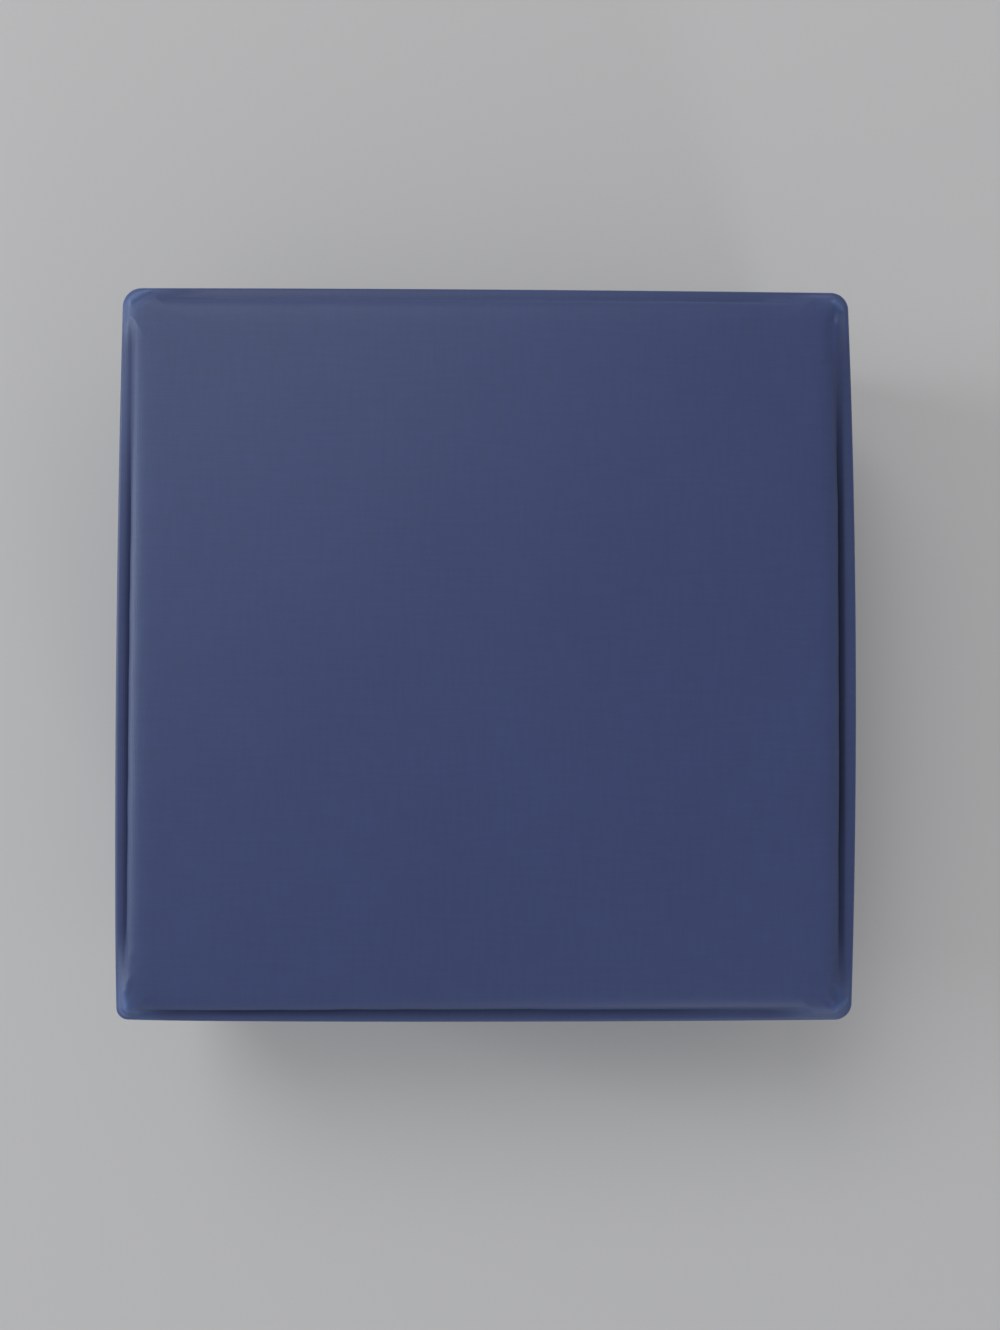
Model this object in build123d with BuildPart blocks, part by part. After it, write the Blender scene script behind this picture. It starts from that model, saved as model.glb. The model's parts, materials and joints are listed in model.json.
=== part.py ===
from build123d import *

import os

# Presentation box: greyboard covered in book cloth, with a padded lid on a cloth hinge.
# Millimetres. The origin is under the middle of the box, X to the right, Y to the hinge, Z up.
os.makedirs("parts", exist_ok=True)

# Overall size, over the cloth
box_width = 150.0
box_depth = 150.0
base_height = 30.0
lid_height = 19.4
corner_radius = 3.6
side_bow = 1.0
front_bow = 0.35
back_bow = 0.25

# The flat rim of the lid, and the foam panel that stands above it
rim_width = 3.3
board_round = 0.7
pad_rise = 2.6
pad_round = 1.8
pad_corner = 4.1

# Boards
base_wall = 3.0
floor_board = 2.5
top_board = 2.0
neck_board = 1.6
wall_card = 0.6
panel_card = 1.0
panel_corner = 3.0

# Cloth, tape, paper, satin and wadding
cloth = 0.4
cloth_fold = 0.3
turn_in = 12.0
turn_under = 14.0
tape = 0.12
tape_leg = 16.0
paper = 0.25
paper_margin = 3.0
paper_corner = 3.0
satin = 0.3
satin_turn = 8.0
wadding = 3.4
wadding_round = 2.4

# The neck that locates the lid, which slopes down to the hinge
neck_rise = 7.0
neck_slope = 9.0
liner_drop = 0.3

# The hinge
hinge_leaf = 13.0
hinge_end_gap = 1.0

# Clearances, and how far a cutting shape runs past what it cuts
swing_clearance = 0.25
panel_fit = 0.3
filler_fit = 0.4
lining_gap = 1.5
beyond = 5.0

# Under cloth, a bevel this share of a round follows it; a round keeps to this share of its wall,
# and a radius under the least one is left as a sharp corner
bevel_share = 2 - 2**0.5
wall_share = 0.85
least_radius = 0.1

# Heights that follow
floor_bottom = paper + cloth
floor_top = floor_bottom + floor_board
seam = base_height
rim_top = seam + lid_height
lid_ceiling = rim_top - cloth - top_board
neck_top = seam + neck_rise
liner_top = seam - liner_drop
pad_roll = min(pad_round, wall_share * pad_rise)
wadding_roll = min(wadding_round, wall_share * wadding)

# Distances in from the outer face that follow
board_face = cloth + tape
base_wall_inside = board_face + base_wall
neck_outside = base_wall_inside + cloth
neck_fit = swing_clearance + neck_rise**2 / (2 * box_depth)
lid_inside = neck_outside - neck_fit
lid_wall_inside = lid_inside - cloth
neck_board_outside = neck_outside + satin
neck_board_inside = neck_board_outside + neck_board
neck_inside = neck_board_inside + satin


# The plan of the box at a distance in from its outer face, its corners rounded by the radius
def outline(inset, radius):
    half_width = box_width / 2 - inset
    half_depth = box_depth / 2 - inset
    front_left = (-half_width, -half_depth)
    front_right = (half_width, -half_depth)
    back_right = (half_width, half_depth)
    back_left = (-half_width, half_depth)
    with BuildSketch(mode=Mode.PRIVATE) as plan:
        with BuildLine():
            SagittaArc(front_left, front_right, -front_bow)
            SagittaArc(front_right, back_right, -side_bow)
            SagittaArc(back_right, back_left, -back_bow)
            SagittaArc(back_left, front_left, -side_bow)
        make_face()
        if radius > least_radius:
            fillet(plan.vertices(), radius)
    return plan.sketch


# A shell's plan keeps what is left of the outer corner radius, down to a sharp corner
def shell_plan(inset):
    return outline(inset, corner_radius - inset)


# A ring in the current sketch, between two distances in from the outer face
def shell_ring(outside, inside):
    add(shell_plan(outside))
    add(shell_plan(inside), mode=Mode.SUBTRACT)


# One wall of a ring: front and back run the full width, and the sides fit between them
def keep_side(side, inside):
    reach = box_depth / 2 - inside
    long = box_width + 2 * beyond
    if side == "front":
        with Locations((0, -reach)):
            Rectangle(long, inside + beyond, align=(Align.CENTER, Align.MAX), mode=Mode.INTERSECT)
    elif side == "back":
        with Locations((0, reach)):
            Rectangle(long, inside + beyond, align=(Align.CENTER, Align.MIN), mode=Mode.INTERSECT)
    elif side == "left":
        Rectangle(long, 2 * reach, align=(Align.MAX, Align.CENTER), mode=Mode.INTERSECT)
    else:
        Rectangle(long, 2 * reach, align=(Align.MIN, Align.CENTER), mode=Mode.INTERSECT)


# The four corners of a ring, as far along each wall as a strip of tape reaches
def keep_corners():
    with GridLocations(box_width, box_depth, 2, 2):
        Rectangle(2 * tape_leg, 2 * tape_leg, mode=Mode.INTERSECT)


def save(piece, name):
    piece.part.label = name
    export_step(piece.part, f"parts/{name}.step")


def top_edges(piece):
    return piece.faces().sort_by(Axis.Z)[-1].edges()


def bottom_edges(piece):
    return piece.faces().sort_by(Axis.Z)[0].edges()


# Top board of the lid, its edge bevelled under the cloth
with BuildPart() as lid_top_board:
    with BuildSketch(Plane.XY.offset(lid_ceiling)):
        add(shell_plan(board_face))
    extrude(amount=top_board)
    chamfer(top_edges(lid_top_board), bevel_share * board_round)
save(lid_top_board, "lid_top_board")

# Floor board of the base
with BuildPart() as base_floor_board:
    with BuildSketch(Plane.XY.offset(floor_bottom)):
        add(shell_plan(board_face))
    extrude(amount=floor_board)
save(base_floor_board, "base_floor_board")

# The four walls of the lid and of the base
for side in ("front", "back", "left", "right"):
    with BuildPart() as lid_wall:
        with BuildSketch(Plane.XY.offset(seam + cloth)):
            shell_ring(board_face, lid_wall_inside)
            keep_side(side, lid_wall_inside)
        extrude(amount=lid_ceiling - seam - cloth)
    save(lid_wall, f"lid_{side}_wall")

    with BuildPart() as base_wall_board:
        with BuildSketch(Plane.XY.offset(floor_top)):
            shell_ring(board_face, base_wall_inside)
            keep_side(side, base_wall_inside)
        extrude(amount=seam - cloth - floor_top)
    save(base_wall_board, f"base_{side}_wall")

# Paper tape round the four corners of the lid's walls
with BuildPart() as lid_corner_stays:
    with BuildSketch(Plane.XY.offset(seam + cloth)):
        shell_ring(cloth, board_face)
        keep_corners()
    extrude(amount=lid_ceiling - seam - cloth)
save(lid_corner_stays, "lid_corner_stays")

# Paper tape round the four corners of the base's walls
with BuildPart() as base_corner_stays:
    with BuildSketch(Plane.XY.offset(floor_bottom)):
        shell_ring(cloth, board_face)
        keep_corners()
    extrude(amount=seam - cloth - floor_bottom)
save(base_corner_stays, "base_corner_stays")

# Foam panel on the top board, its upper edge bevelled for the cloth to roll over
with BuildPart() as lid_pad:
    with BuildSketch(Plane.XY.offset(rim_top - cloth)):
        add(outline(rim_width + cloth, pad_corner))
    extrude(amount=pad_rise)
    chamfer(top_edges(lid_pad), bevel_share * pad_roll)
save(lid_pad, "lid_pad")

# What the lid's cloth is drawn over: the boxed boards with their bevelled rim
with BuildPart() as lid_core:
    with BuildSketch(Plane.XY.offset(seam + cloth)):
        add(shell_plan(cloth))
    extrude(amount=lid_height - 2 * cloth)
    chamfer(top_edges(lid_core), bevel_share * (board_round + tape))

# Cloth of the lid, in one piece: panel, crease, rim, walls and the turn-in inside the mouth
with BuildPart() as lid_cover:
    with BuildSketch(Plane.XY.offset(seam)):
        add(shell_plan(0))
    extrude(amount=lid_height)
    fillet(top_edges(lid_cover), board_round + board_face)
    chamfer(bottom_edges(lid_cover), cloth_fold)
    with BuildSketch(Plane.XY.offset(rim_top - cloth)):
        add(outline(rim_width, pad_corner + cloth))
    extrude(amount=cloth + pad_rise)
    fillet(top_edges(lid_cover), pad_roll + cloth)
    add(lid_core.part, mode=Mode.SUBTRACT)
    add(lid_pad.part, mode=Mode.SUBTRACT)
    with BuildSketch(Plane.XY.offset(seam)):
        add(shell_plan(lid_inside))
    extrude(amount=cloth, mode=Mode.SUBTRACT)
    with BuildSketch(Plane.XY.offset(seam)):
        shell_ring(lid_wall_inside, lid_inside)
    extrude(amount=turn_in)
save(lid_cover, "lid_cover")

# Cloth of the base: under the floor's edge, up the walls, over the rim and down inside
with BuildPart() as base_cover:
    with BuildSketch(Plane.XY.offset(paper)):
        add(shell_plan(0))
    extrude(amount=seam - paper)
    chamfer(top_edges(base_cover), cloth_fold)
    chamfer(bottom_edges(base_cover), cloth_fold)
    with BuildSketch(Plane.XY.offset(floor_bottom)):
        add(shell_plan(cloth))
    extrude(amount=seam - cloth - floor_bottom, mode=Mode.SUBTRACT)
    with BuildSketch(Plane.XY.offset(paper)):
        add(shell_plan(turn_under))
    extrude(amount=cloth, mode=Mode.SUBTRACT)
    with BuildSketch(Plane.XY.offset(seam - turn_in)):
        add(shell_plan(neck_outside))
    extrude(amount=turn_in, mode=Mode.SUBTRACT)
    with BuildSketch(Plane.XY.offset(seam - turn_in)):
        shell_ring(base_wall_inside, neck_outside)
    extrude(amount=turn_in)
save(base_cover, "base_cover")

# Card that fills the underside level with the turned-under cloth
with BuildPart() as underside_filler:
    with BuildSketch(Plane.XY.offset(paper)):
        add(shell_plan(turn_under + filler_fit))
    extrude(amount=cloth)
save(underside_filler, "underside_filler")

# Paper pasted over the underside, on which the box stands
with BuildPart() as underside_paper:
    with BuildSketch():
        add(outline(paper_margin, paper_corner))
    extrude(amount=paper)
save(underside_paper, "underside_paper")


# What the neck leaves free at the hinge: all above the back liner, with a slope up to full height
def hinge_room(grown):
    rear = box_depth / 2 - neck_board_inside
    with BuildSketch(Plane.YZ) as profile:
        with BuildLine():
            Polyline(
                (rear, liner_top - satin + grown),
                (rear - neck_slope, neck_top - satin + grown),
                (rear - neck_slope, neck_top + beyond),
                (rear + beyond + neck_board, neck_top + beyond),
                (rear + beyond + neck_board, liner_top - satin + grown),
                close=True,
            )
        make_face()
    return profile.sketch


# The neck boards as one ring, from which the four are cut
with BuildPart() as neck_core:
    with BuildSketch(Plane.XY.offset(floor_top)):
        shell_ring(neck_board_outside, neck_board_inside)
    extrude(amount=neck_top - satin - floor_top)
    extrude(hinge_room(0), amount=box_width, both=True, mode=Mode.SUBTRACT)

# Three neck boards that stand proud of the rim, and the back liner that stops level with it
neck_names = {"front": "neck_front", "left": "neck_left", "right": "neck_right", "back": "back_liner"}
for side, name in neck_names.items():
    with BuildPart() as neck_side:
        with BuildSketch(Plane.XY.offset(floor_top)):
            shell_ring(neck_board_outside, neck_board_inside)
            keep_side(side, neck_board_inside)
        extrude(amount=neck_top - floor_top)
        add(neck_core.part, mode=Mode.INTERSECT)
    save(neck_side, name)

# Satin over the neck: the whole inside, the top, and a turn down the outside
with BuildPart() as neck_lining:
    with BuildSketch(Plane.XY.offset(floor_top)):
        shell_ring(neck_outside, neck_inside)
    extrude(amount=neck_top - floor_top)
    extrude(hinge_room(satin), amount=box_width, both=True, mode=Mode.SUBTRACT)
    add(neck_core.part, mode=Mode.SUBTRACT)
    with BuildSketch(Plane.XY.offset(floor_top)):
        shell_ring(neck_outside, neck_board_outside)
    extrude(amount=seam - satin_turn - floor_top, mode=Mode.SUBTRACT)
save(neck_lining, "neck_lining")

# Satin-covered card round the inside of the lid's walls, clear of the neck
lining_bottom = neck_top + lining_gap
with BuildPart() as lid_wall_lining:
    with BuildSketch(Plane.XY.offset(lining_bottom)):
        shell_ring(lid_inside, lid_inside + wall_card)
    extrude(amount=lid_ceiling - lining_bottom)
save(lid_wall_lining, "lid_wall_lining")


# A padded panel: a card, wadding on it, and satin drawn over both and turned round the back.
# It is laid with its back at a height, and faces up or down. The card is cut straight, so it
# clears the bow of the walls.
def padded_panel(name, inset, back, facing):
    width = box_width - 2 * inset
    depth = box_depth - 2 * inset
    behind = back + facing * satin
    front_of_card = behind + facing * panel_card
    front_edges = top_edges if facing > 0 else bottom_edges

    with BuildPart() as card:
        with BuildSketch(Plane.XY.offset(behind)):
            RectangleRounded(width - 2 * satin, depth - 2 * satin, panel_corner)
        extrude(amount=facing * panel_card)
    save(card, f"{name}_card")

    with BuildPart() as pad:
        with BuildSketch(Plane.XY.offset(front_of_card)):
            RectangleRounded(width - 2 * satin, depth - 2 * satin, panel_corner)
        extrude(amount=facing * wadding)
        chamfer(front_edges(pad), bevel_share * wadding_roll)
    save(pad, f"{name}_wadding")

    with BuildPart() as skin:
        with BuildSketch(Plane.XY.offset(back)):
            RectangleRounded(width, depth, panel_corner + satin)
        extrude(amount=facing * (satin + panel_card + wadding + satin))
        fillet(front_edges(skin), wadding_roll + satin)
        add(card.part, mode=Mode.SUBTRACT)
        add(pad.part, mode=Mode.SUBTRACT)
        with BuildSketch(Plane.XY.offset(back)):
            Rectangle(width - 2 * satin_turn, depth - 2 * satin_turn)
        extrude(amount=facing * satin, mode=Mode.SUBTRACT)
    save(skin, f"{name}_satin")


# The padded lining of the lid, and the floor cushion of the base
padded_panel("lid_lining", lid_inside + wall_card + panel_fit, lid_ceiling, -1)
padded_panel("floor", neck_inside + panel_fit, floor_top, 1)

# Strip of cloth glued over the joint on the back; it folds about its outer face
hinge_length = box_width - 2 * (corner_radius + hinge_end_gap)
with BuildPart() as hinge_strip:
    with BuildSketch(Plane.XY.offset(seam - hinge_leaf)):
        shell_ring(-cloth, 0)
        with Locations((0, box_depth / 2 - corner_radius)):
            Rectangle(hinge_length, box_depth, align=(Align.CENTER, Align.MIN), mode=Mode.INTERSECT)
    extrude(amount=2 * hinge_leaf)
save(hinge_strip, "hinge_strip")
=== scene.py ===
import json
import math

import bmesh
import bpy
from mathutils import Euler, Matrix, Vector, noise


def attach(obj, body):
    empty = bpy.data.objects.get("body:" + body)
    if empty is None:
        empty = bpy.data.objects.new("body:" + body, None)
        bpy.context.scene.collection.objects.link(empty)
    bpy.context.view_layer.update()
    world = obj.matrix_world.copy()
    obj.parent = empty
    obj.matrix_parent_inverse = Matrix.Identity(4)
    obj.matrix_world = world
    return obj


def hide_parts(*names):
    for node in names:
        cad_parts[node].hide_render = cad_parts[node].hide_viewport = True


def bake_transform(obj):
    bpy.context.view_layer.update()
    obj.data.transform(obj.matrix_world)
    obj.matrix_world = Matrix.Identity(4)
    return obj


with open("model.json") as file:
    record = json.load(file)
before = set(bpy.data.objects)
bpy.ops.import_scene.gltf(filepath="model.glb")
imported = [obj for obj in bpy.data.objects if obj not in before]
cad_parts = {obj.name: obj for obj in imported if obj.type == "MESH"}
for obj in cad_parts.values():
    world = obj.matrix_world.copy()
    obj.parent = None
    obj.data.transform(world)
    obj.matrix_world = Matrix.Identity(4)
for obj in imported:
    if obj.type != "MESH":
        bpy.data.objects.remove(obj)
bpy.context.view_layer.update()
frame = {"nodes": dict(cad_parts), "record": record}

# Presentation box in blue book cloth. Lengths in the dictionaries are millimetres unless noted.
mm = 0.001
scene = bpy.context.scene
scene.view_settings.view_transform = "Standard"

# Camera: straight down from just in front of the middle, as the photo was taken
cameraSettings = {
    "place": (0.59, -6.85, 254.18),
    "turn": (1.198, -0.649, 0.14),  # degrees
    "lens": 27.07,
    "sensor": 36.0,
    "nearest": 10.0,
}
cameraData = bpy.data.cameras.new("camera")
cameraData.lens = cameraSettings["lens"]
cameraData.sensor_width = cameraSettings["sensor"]
cameraData.clip_start = cameraSettings["nearest"] * mm
camera = bpy.data.objects.new("camera", cameraData)
camera.location = Vector(cameraSettings["place"]) * mm
camera.rotation_euler = Euler([math.radians(angle) for angle in cameraSettings["turn"]])
scene.collection.objects.link(camera)
scene.camera = camera
print("box: camera set")


# Shader helpers. An input, by name or number, takes a value or another node's socket.
def addNode(tree, kind, inputs=None, **settings):
    node = tree.nodes.new(kind)
    for name, value in settings.items():
        setattr(node, name, value)
    for name, value in (inputs or {}).items():
        if isinstance(value, bpy.types.NodeSocket):
            tree.links.new(value, node.inputs[name])
        else:
            node.inputs[name].default_value = value
    return node


def mathNode(tree, operation, *values):
    return addNode(tree, "ShaderNodeMath", dict(enumerate(values)), operation=operation).outputs[0]


def vectorMath(tree, operation, first, second):
    inputs = {0: first, "Scale" if operation == "SCALE" else 1: second}
    return addNode(tree, "ShaderNodeVectorMath", inputs, operation=operation).outputs[0]


def mapRange(tree, value, low, high, fromLow=0.0, fromHigh=1.0):
    inputs = {"Value": value, "From Min": fromLow, "From Max": fromHigh, "To Min": low, "To Max": high}
    return addNode(tree, "ShaderNodeMapRange", inputs).outputs[0]


def mixColour(tree, factor, first, second, blend="MIX"):
    inputs = {0: factor, 6: first, 7: second}
    return addNode(tree, "ShaderNodeMix", inputs, data_type="RGBA", blend_type=blend).outputs[2]


def noiseAt(tree, vector, scale, detail=2.0, roughness=0.5):
    inputs = {"Vector": vector, "Scale": scale, "Detail": detail, "Roughness": roughness}
    return addNode(tree, "ShaderNodeTexNoise", inputs).outputs["Fac"]


def opaque(colour):
    return colour + (1.0,)


# Lays one colour over another where a mask says so
def layColour(tree, mask, share, under, over):
    return mixColour(tree, mathNode(tree, "MULTIPLY", mask, share), under, opaque(over))


def layerValue(tree, name):
    return addNode(tree, "ShaderNodeAttribute", attribute_name=name).outputs["Fac"]


def newGroup(name, inputs, outputs):
    tree = bpy.data.node_groups.new(name, "ShaderNodeTree")
    for label, kind in inputs:
        tree.interface.new_socket(name=label, in_out="INPUT", socket_type=kind)
    for label, kind in outputs:
        tree.interface.new_socket(name=label, in_out="OUTPUT", socket_type=kind)
    return tree, tree.nodes.new("NodeGroupInput"), tree.nodes.new("NodeGroupOutput")


# Plain weave: threads over and under, with slubs that run along them
weaveMake = {
    "driftScale": 45.0, "drift": 0.0006,  # how threads wander off straight, per metre and in metres
    "level": 0.58, "lift": 0.42,  # a thread's height midway, and its rise over the next one
    "gapSharpness": 2.4,
    "slubWidth": 0.45,  # of a thread's pitch
    "slubDetail": 3.0, "slubRoughness": 0.6,
}


def makeWeaveGroup():
    tree, given, out = newGroup(
        "plainWeave",
        [("Vector", "NodeSocketVector"), ("Pitch", "NodeSocketFloat"), ("Slub Length", "NodeSocketFloat")],
        [("Height", "NodeSocketFloat"), ("Gap", "NodeSocketFloat"), ("Slub", "NodeSocketFloat")],
    )
    vector, pitch, slubLength = (given.outputs[name] for name in ("Vector", "Pitch", "Slub Length"))
    drifting = {"Vector": vector, "Scale": weaveMake["driftScale"], "Detail": 1.0}
    drift = addNode(tree, "ShaderNodeTexNoise", drifting).outputs["Color"]
    centred = vectorMath(tree, "SUBTRACT", drift, (0.5, 0.5, 0.5))
    laid = vectorMath(tree, "ADD", vector, vectorMath(tree, "SCALE", centred, weaveMake["drift"]))
    parts = addNode(tree, "ShaderNodeSeparateXYZ", {0: laid})
    perThread = mathNode(tree, "DIVIDE", math.pi, pitch)
    acrossWarp = mathNode(tree, "SINE", mathNode(tree, "MULTIPLY", parts.outputs[0], perThread))
    acrossWeft = mathNode(tree, "SINE", mathNode(tree, "MULTIPLY", parts.outputs[1], perThread))
    overUnder = mathNode(tree, "MULTIPLY", acrossWarp, acrossWeft)
    threads = []
    for across, lift in ((acrossWarp, weaveMake["lift"]), (acrossWeft, -weaveMake["lift"])):
        rise = mathNode(tree, "MULTIPLY_ADD", overUnder, lift, weaveMake["level"])
        threads.append(mathNode(tree, "MULTIPLY", mathNode(tree, "ABSOLUTE", across), rise))
    height = mathNode(tree, "MAXIMUM", *threads)
    tree.links.new(height, out.inputs["Height"])
    filled = mathNode(tree, "MINIMUM", mathNode(tree, "MULTIPLY", height, weaveMake["gapSharpness"]), 1.0)
    tree.links.new(mathNode(tree, "SUBTRACT", 1.0, filled), out.inputs["Gap"])
    # slubs: noise drawn out along each thread direction
    thin = mathNode(tree, "DIVIDE", weaveMake["slubWidth"], pitch)
    long = mathNode(tree, "DIVIDE", 1.0, slubLength)
    slubs = []
    for wide, deep in ((thin, long), (long, thin)):
        stretch = addNode(tree, "ShaderNodeCombineXYZ", {0: wide, 1: deep, 2: 1.0}).outputs[0]
        place = vectorMath(tree, "MULTIPLY", vector, stretch)
        slubs.append(noiseAt(tree, place, 1.0, weaveMake["slubDetail"], weaveMake["slubRoughness"]))
    tree.links.new(mathNode(tree, "MULTIPLY", mathNode(tree, "ADD", *slubs), 0.5), out.inputs["Slub"])
    return tree


# Pulp: short fibres and specks for board, card, tape and paper
pulpMake = {
    "detail": 4.0, "twist": 1.2, "cloudScale": 38.0, "cloudDetail": 3.0, "speckSize": 0.13, "toneRange": (0.35, 0.65),
}


def makePulpGroup():
    tree, given, out = newGroup(
        "pulp",
        [("Vector", "NodeSocketVector"), ("Fibre", "NodeSocketFloat"), ("Speck", "NodeSocketFloat")],
        [("Height", "NodeSocketFloat"), ("Tone", "NodeSocketFloat"), ("Specks", "NodeSocketFloat")],
    )
    vector, fibre, speck = (given.outputs[name] for name in ("Vector", "Fibre", "Speck"))
    fibres = {"Vector": vector, "Scale": fibre, "Detail": pulpMake["detail"], "Distortion": pulpMake["twist"]}
    fine = addNode(tree, "ShaderNodeTexNoise", fibres).outputs["Fac"]
    cloudy = noiseAt(tree, vector, pulpMake["cloudScale"], pulpMake["cloudDetail"])
    specks = addNode(tree, "ShaderNodeTexVoronoi", {"Vector": vector, "Scale": speck}).outputs["Distance"]
    tree.links.new(fine, out.inputs["Height"])
    tree.links.new(mathNode(tree, "MULTIPLY", mathNode(tree, "ADD", fine, cloudy), 0.5), out.inputs["Tone"])
    tree.links.new(mathNode(tree, "LESS_THAN", specks, pulpMake["speckSize"]), out.inputs["Specks"])
    return tree


weaveGroup = makeWeaveGroup()
pulpGroup = makePulpGroup()


def newMaterial(name):
    material = bpy.data.materials.new(name)
    material.use_nodes = True
    tree = material.node_tree
    return material, tree, tree.nodes["Principled BSDF"]


def finishSurface(tree, surface, colour, rough, height, look):
    tree.links.new(colour, surface.inputs["Base Color"])
    tree.links.new(rough, surface.inputs["Roughness"])
    surface.inputs["Specular IOR Level"].default_value = look["specular"]
    relief = {"Height": height, "Strength": look["bump"], "Distance": look["relief"] * mm}
    tree.links.new(addNode(tree, "ShaderNodeBump", relief).outputs[0], surface.inputs["Normal"])


# Woven cloth that follows the piece's own unfolded UV map
wovenMake = {
    "slubRange": (0.3, 0.7), "slubRelief": 0.8,
    "cloudRange": (0.25, 0.75), "cloudDetail": 2.0, "cloudRoughness": 0.55,
    "dullAt": 0.6,  # the cloth has lost its gloss where the painted crease shade is as much as this
}


def wovenMaterial(name, look):
    material, tree, surface = newMaterial(name)
    unfolded = addNode(tree, "ShaderNodeUVMap", uv_map="unfolded").outputs[0]
    threads = {"Vector": unfolded, "Pitch": look["pitch"] * mm, "Slub Length": look["slubLength"] * mm}
    weave = addNode(tree, "ShaderNodeGroup", threads, node_tree=weaveGroup)
    tone = mapRange(tree, weave.outputs["Slub"], 0.0, 1.0, *wovenMake["slubRange"])
    colour = mixColour(tree, tone, opaque(look["dark"]), opaque(look["light"]))
    colour = layColour(tree, weave.outputs["Gap"], look["gapShare"], colour, look["gap"])
    cloudy = noiseAt(tree, unfolded, look["cloudScale"], wovenMake["cloudDetail"], wovenMake["cloudRoughness"])
    shade = mapRange(tree, cloudy, 1 - look["cloud"], 1 + look["cloud"], *wovenMake["cloudRange"])
    grey = addNode(tree, "ShaderNodeCombineXYZ", {0: shade, 1: shade, 2: shade}).outputs[0]
    colour = mixColour(tree, 1.0, colour, grey, "MULTIPLY")
    paintedShade = layerValue(tree, "paintedShade")
    # painted highlight: lighter, bluer cloth on the lid's corners and folds; lighter colour on the base's corners and
    # along the hinge's joint
    colour = layColour(tree, layerValue(tree, "lightened"), look["lightenedShare"], colour, look["lightened"])
    # painted shade: darkens the lid's crease and the rim beside it, where the panel's shadow falls; the same mask
    # takes the gloss off there
    colour = layColour(tree, paintedShade, look["creaseShare"], colour, look["paintedShadeColour"])
    rough = mapRange(tree, weave.outputs["Height"], *look["rough"])
    dull = mapRange(tree, paintedShade, rough, 1.0, 0.0, wovenMake["dullAt"])
    relief = mathNode(tree, "MULTIPLY", weave.outputs["Slub"], wovenMake["slubRelief"])
    relief = mathNode(tree, "ADD", weave.outputs["Height"], relief)
    finishSurface(tree, surface, colour, dull, relief, look)
    if "anisotropic" in look:
        surface.inputs["Anisotropic"].default_value = look["anisotropic"]
        tangent = addNode(tree, "ShaderNodeTangent", direction_type="UV_MAP", uv_map="unfolded")
        tree.links.new(tangent.outputs[0], surface.inputs["Tangent"])
    surface.inputs["Sheen Weight"].default_value = look["sheen"]
    surface.inputs["Sheen Roughness"].default_value = look["sheenRoughness"]
    surface.inputs["Sheen Tint"].default_value = opaque(look["sheenTint"])
    return material


# Board, card, tape, paper and foam, on Object coordinates
def pulpMaterial(name, look):
    material, tree, surface = newMaterial(name)
    place = addNode(tree, "ShaderNodeTexCoord").outputs["Object"]
    if "grain" in look:
        place = addNode(tree, "ShaderNodeMapping", {"Vector": place, "Scale": look["grain"]}).outputs["Vector"]
    fibres = {"Vector": place, "Fibre": look["fibre"], "Speck": look["speck"]}
    pulp = addNode(tree, "ShaderNodeGroup", fibres, node_tree=pulpGroup)
    tone = mapRange(tree, pulp.outputs["Tone"], 0.0, 1.0, *pulpMake["toneRange"])
    colour = mixColour(tree, tone, opaque(look["dark"]), opaque(look["light"]))
    colour = layColour(tree, pulp.outputs["Specks"], look["speckShare"], colour, look["speckColour"])
    rough = mapRange(tree, pulp.outputs["Height"], *look["rough"])
    finishSurface(tree, surface, colour, rough, pulp.outputs["Height"], look)
    return material


blueCloth = wovenMaterial("blueCloth", {
    "pitch": 0.38, "slubLength": 9.0,
    "dark": (0.026, 0.039, 0.117), "light": (0.033, 0.048, 0.141),
    "gap": (0.016, 0.024, 0.066), "gapShare": 0.35,
    "cloudScale": 22.0, "cloud": 0.04,
    # painted highlight on the lid's corners and folds; lighter colour on the base's corners and along the hinge's
    # joint
    "lightened": (0.085, 0.145, 0.33), "lightenedShare": 0.62,
    # painted shade for the lid's crease and the rim beside it
    "paintedShadeColour": (0.006, 0.008, 0.022), "creaseShare": 0.88,
    "rough": (0.60, 0.48), "specular": 0.56,
    "sheen": 0.10, "sheenRoughness": 0.5, "sheenTint": (0.62, 0.76, 1.0),
    "bump": 0.4, "relief": 0.06,
})
ivorySatin = wovenMaterial("ivorySatin", {
    "pitch": 0.16, "slubLength": 26.0,
    "dark": (0.70, 0.655, 0.555), "light": (0.80, 0.76, 0.66),
    "gap": (0.60, 0.55, 0.44), "gapShare": 0.2,
    "cloudScale": 30.0, "cloud": 0.02,
    "lightened": (0.86, 0.83, 0.74), "lightenedShare": 0.3,
    "paintedShadeColour": (0.5, 0.45, 0.35), "creaseShare": 0.3,
    "rough": (0.34, 0.26), "specular": 0.6, "anisotropic": 0.7,
    "sheen": 0.15, "sheenRoughness": 0.3, "sheenTint": (1.0, 0.98, 0.93),
    "bump": 0.25, "relief": 0.03,
})
greyBoard = pulpMaterial("greyBoard", {
    "fibre": 900.0, "speck": 420.0, "dark": (0.20, 0.185, 0.165), "light": (0.31, 0.29, 0.26),
    "speckColour": (0.09, 0.08, 0.07), "speckShare": 0.6,
    "rough": (0.95, 0.8), "specular": 0.2, "bump": 0.6, "relief": 0.08,
})
kraftTape = pulpMaterial("kraftTape", {
    "grain": (1.0, 1.0, 0.25),
    "fibre": 700.0, "speck": 300.0, "dark": (0.33, 0.21, 0.10), "light": (0.46, 0.31, 0.165),
    "speckColour": (0.22, 0.13, 0.06), "speckShare": 0.4,
    "rough": (0.8, 0.6), "specular": 0.3, "bump": 0.4, "relief": 0.04,
})
whiteCard = pulpMaterial("whiteCard", {
    "fibre": 1100.0, "speck": 160.0, "dark": (0.66, 0.64, 0.58), "light": (0.76, 0.74, 0.69),
    "speckColour": (0.5, 0.47, 0.4), "speckShare": 0.25,
    "rough": (0.75, 0.6), "specular": 0.35, "bump": 0.3, "relief": 0.03,
})
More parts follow.
